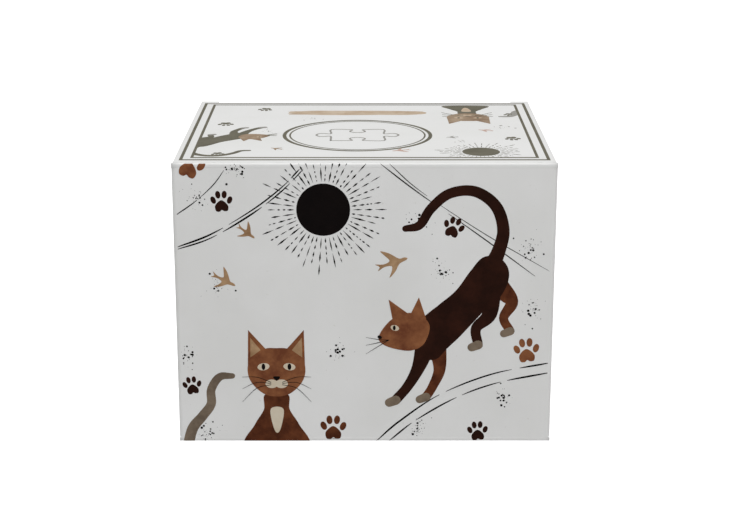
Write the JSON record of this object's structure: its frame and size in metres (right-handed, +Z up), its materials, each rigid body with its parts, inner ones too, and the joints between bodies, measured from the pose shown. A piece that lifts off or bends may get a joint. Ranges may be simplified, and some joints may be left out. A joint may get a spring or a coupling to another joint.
{
  "type": "boxed jigsaw puzzle",
  "caption": "Near-cubic printed tuck-end carton of fine corrugated board, holding a bag of jigsaw pieces and a folded picture leaflet.",
  "frame": {"origin": "middle of the carton's underside", "axes": "+Z up; +X to the right seen from the lid's hinge side; the lid and bottom panels are hinged on the -Y wall and tuck in at +Y"},
  "size_m": [0.13, 0.11, 0.1],
  "materials": {
    "printed_liner": "satin coated white, printed",
    "fluting": "matte",
    "inner_liner": "matte kraft",
    "crease": "satin coated white",
    "glue": "dry glue",
    "puzzle_board": "satin printed greyboard",
    "leaflet": "satin",
    "bag_film": "clear film"
  },
  "bodies": {
    "carton": {"back_wall_fluting": "fluting", "back_wall_inner_liner": "inner_liner", "back_wall_printed_liner": "printed_liner", "bottom_crease": "crease", "bottom_dust_flap_left_crease": "crease", "bottom_dust_flap_right_crease": "crease", "front_wall_fluting": "fluting", "front_wall_inner_liner": "inner_liner", "front_wall_printed_liner": "printed_liner", "glue_flap_fluting": "fluting", "glue_flap_inner_liner": "inner_liner", "glue_flap_printed_liner": "printed_liner", "jigsaw_pieces_layer_1": "puzzle_board", "jigsaw_pieces_layer_2": "puzzle_board", "jigsaw_pieces_layer_3": "puzzle_board", "jigsaw_pieces_layer_4": "puzzle_board", "jigsaw_pieces_layer_5": "puzzle_board", "jigsaw_pieces_layer_6": "puzzle_board", "joint_glue_line": "glue", "left_wall_fluting": "fluting", "left_wall_inner_liner": "inner_liner", "left_wall_printed_liner": "printed_liner", "lid_crease": "crease", "picture_leaflet": "leaflet", "puzzle_bag": "bag_film", "right_wall_fluting": "fluting", "right_wall_inner_liner": "inner_liner", "right_wall_printed_liner": "printed_liner", "top_dust_flap_left_crease": "crease", "top_dust_flap_right_crease": "crease"},
    "bottom_dust_flap_left": {"bottom_dust_flap_left_fluting": "fluting", "bottom_dust_flap_left_inner_liner": "inner_liner", "bottom_dust_flap_left_printed_liner": "printed_liner"},
    "bottom_dust_flap_right": {"bottom_dust_flap_right_fluting": "fluting", "bottom_dust_flap_right_inner_liner": "inner_liner", "bottom_dust_flap_right_printed_liner": "printed_liner"},
    "bottom": {"bottom_fluting": "fluting", "bottom_inner_liner": "inner_liner", "bottom_printed_liner": "printed_liner", "bottom_tuck_crease": "crease"},
    "bottom_tuck_flap": {"bottom_tuck_flap_fluting": "fluting", "bottom_tuck_flap_inner_liner": "inner_liner", "bottom_tuck_flap_printed_liner": "printed_liner"},
    "lid": {"lid_fluting": "fluting", "lid_inner_liner": "inner_liner", "lid_printed_liner": "printed_liner", "lid_tuck_crease": "crease"},
    "lid_tuck_flap": {"lid_tuck_flap_fluting": "fluting", "lid_tuck_flap_inner_liner": "inner_liner", "lid_tuck_flap_printed_liner": "printed_liner"},
    "top_dust_flap_left": {"top_dust_flap_left_fluting": "fluting", "top_dust_flap_left_inner_liner": "inner_liner", "top_dust_flap_left_printed_liner": "printed_liner"},
    "top_dust_flap_right": {"top_dust_flap_right_fluting": "fluting", "top_dust_flap_right_inner_liner": "inner_liner", "top_dust_flap_right_printed_liner": "printed_liner"}
  },
  "joints": [
    {"name": "lid_hinge", "type": "hinge", "parent": "carton", "child": "lid", "pos_m": [0, -0.0544, 0.0994], "axis": [1, 0, 0], "range_deg": [0, 175], "deforming": ["lid_crease"]},
    {"name": "lid_tuck_fold", "type": "hinge", "parent": "lid", "child": "lid_tuck_flap", "pos_m": [0, 0.05248, 0.09932], "axis": [1, 0, 0], "range_deg": [0, 87.5], "deforming": ["lid_tuck_crease"]},
    {"name": "top_dust_left_fold", "type": "hinge", "parent": "carton", "child": "top_dust_flap_left", "pos_m": [-0.0644, 0, 0.0976], "axis": [0, -1, 0], "range_deg": [0, 87.5], "deforming": ["top_dust_flap_left_crease"]},
    {"name": "top_dust_right_fold", "type": "hinge", "parent": "carton", "child": "top_dust_flap_right", "pos_m": [0.0644, 0, 0.0976], "axis": [0, 1, 0], "range_deg": [0, 87.5], "deforming": ["top_dust_flap_right_crease"]},
    {"name": "bottom_hinge", "type": "hinge", "parent": "carton", "child": "bottom", "pos_m": [0, -0.0544, 0.0006], "axis": [-1, 0, 0], "range_deg": [0, 175], "deforming": ["bottom_crease"]},
    {"name": "bottom_tuck_fold", "type": "hinge", "parent": "bottom", "child": "bottom_tuck_flap", "pos_m": [0, 0.05248, 0.00068], "axis": [-1, 0, 0], "range_deg": [0, 87.5], "deforming": ["bottom_tuck_crease"]},
    {"name": "bottom_dust_right_fold", "type": "hinge", "parent": "carton", "child": "bottom_dust_flap_right", "pos_m": [0.0644, 0, 0.0024], "axis": [0, -1, 0], "range_deg": [0, 87.5], "deforming": ["bottom_dust_flap_right_crease"]},
    {"name": "bottom_dust_left_fold", "type": "hinge", "parent": "carton", "child": "bottom_dust_flap_left", "pos_m": [-0.0644, 0, 0.0024], "axis": [0, 1, 0], "range_deg": [0, 87.5], "deforming": ["bottom_dust_flap_left_crease"]}
  ],
  "couplings": [
    {"joint": "lid_tuck_fold", "follows": "lid_hinge", "ratio": 0.5},
    {"joint": "top_dust_left_fold", "follows": "lid_hinge", "ratio": 0.5},
    {"joint": "top_dust_right_fold", "follows": "lid_hinge", "ratio": 0.5},
    {"joint": "bottom_tuck_fold", "follows": "bottom_hinge", "ratio": 0.5},
    {"joint": "bottom_dust_right_fold", "follows": "bottom_hinge", "ratio": 0.5},
    {"joint": "bottom_dust_left_fold", "follows": "bottom_hinge", "ratio": 0.5}
  ]
}
